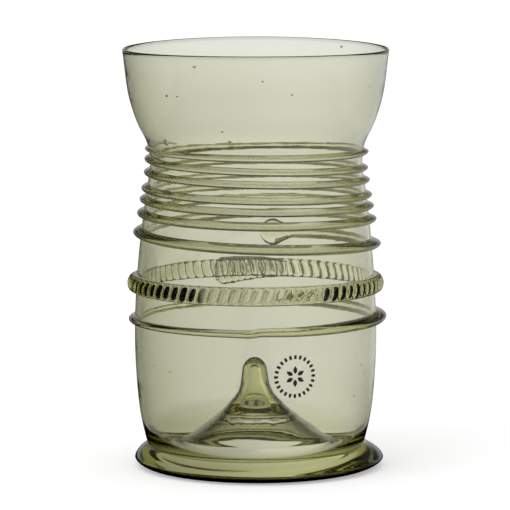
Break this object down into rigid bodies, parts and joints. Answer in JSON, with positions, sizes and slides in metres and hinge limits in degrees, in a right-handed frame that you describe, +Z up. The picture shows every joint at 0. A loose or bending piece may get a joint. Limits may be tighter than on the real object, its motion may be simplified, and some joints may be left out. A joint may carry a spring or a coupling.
{
  "type": "reliquary glass",
  "caption": "Hand-blown green glass beaker with a flared mouth, a pushed-in base, a foot ring and wound glass trails round its wall.",
  "frame": {"origin": "on the axis of the glass, at the level of the surface that the foot ring stands on", "axes": "+Z up along the axis, -Y towards the front with the small round film, +X to the right seen from there"},
  "size_m": [0.0794, 0.0794, 0.1261],
  "materials": {
    "green_glass": "clear hand-blown soda glass with a pale olive-green tint, fire-polished, with a few tiny bubbles",
    "clear_film": "thin clear self-adhesive film"
  },
  "bodies": {
    "root": {"bowl": "green_glass", "foot_ring": "green_glass", "lower_trail": "green_glass", "notched_trail": "green_glass", "spiral_trail": "green_glass", "pontil_scar": "green_glass", "label_film": "clear_film"}
  },
  "joints": []
}
